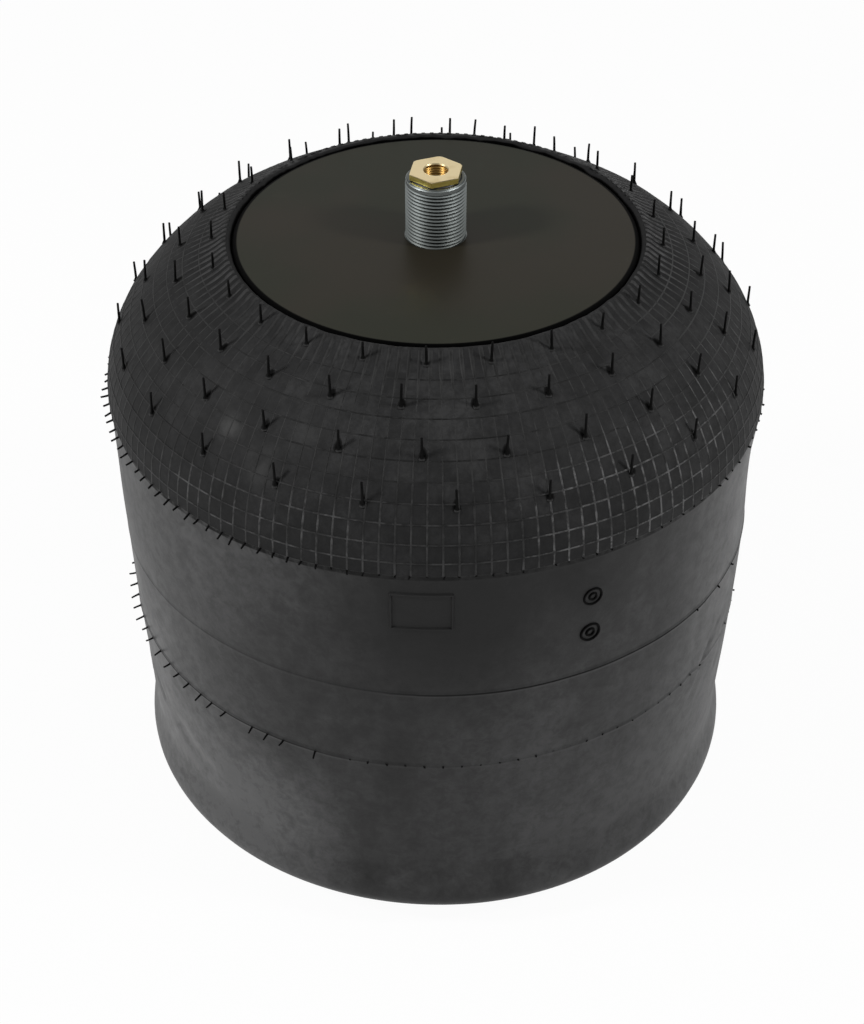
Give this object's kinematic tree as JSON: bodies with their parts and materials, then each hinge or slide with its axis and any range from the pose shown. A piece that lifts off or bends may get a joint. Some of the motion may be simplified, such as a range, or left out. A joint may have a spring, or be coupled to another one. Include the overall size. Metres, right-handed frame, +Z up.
{
  "type": "air suspension spring",
  "caption": "Rolling-lobe air spring for a heavy vehicle: crimped bead plate with a threaded air-inlet stud, rubber bellows, bump stop and steel piston that it rolls down.",
  "frame": {"origin": "centre of the piston's base, on the mounting plane that it stands on", "axes": "+Z up along the spring's own axis, from the piston to the bead plate's stud; the two halves are alike all round, so +X and +Y only set the base's hole pattern, with its four holes on the diagonals"},
  "size_m": [0.2686, 0.2686, 0.2894],
  "materials": {
    "plate_paint": "satin",
    "zinc_steel": "satin",
    "bare_steel": "matte",
    "brass": "satin",
    "copper": "satin",
    "seal_rubber": "satin",
    "bellows_rubber": "matte",
    "bumper_rubber": "matte",
    "piston_paint": "satin"
  },
  "bodies": {
    "piston": {"piston_shell": "piston_paint", "piston_base_plate": "piston_paint", "bolt_cup": "piston_paint", "centre_tube": "piston_paint", "gusset_ribs": "piston_paint", "base_weld_nuts": "bare_steel", "piston_bolt": "zinc_steel", "bolt_washer": "zinc_steel", "clamp_plate": "zinc_steel", "nut_seal": "copper", "clamp_nut": "zinc_steel", "bumper": "bumper_rubber", "bumper_insert": "zinc_steel", "lower_bead_core": "bare_steel", "bellows_inner_leg": "bellows_rubber"},
    "fold": {"bellows_fold": "bellows_rubber"},
    "plate": {"bead_plate": "plate_paint", "combo_stud": "zinc_steel", "stud_weld": "bare_steel", "port_bush": "brass", "port_seal": "seal_rubber", "upper_bead_core": "bare_steel", "bellows_outer_leg": "bellows_rubber"}
  },
  "joints": [
    {"name": "fold_roll", "type": "slide", "parent": "piston", "child": "fold", "axis": [0, 0, 1], "range_m": [0, 0.09], "deforming": ["bellows_inner_leg"]},
    {"name": "plate_rise", "type": "slide", "parent": "fold", "child": "plate", "axis": [0, 0, 1], "range_m": [0, 0.09]}
  ],
  "couplings": [
    {"joint": "fold_roll", "follows": "plate_rise", "ratio": 1}
  ]
}
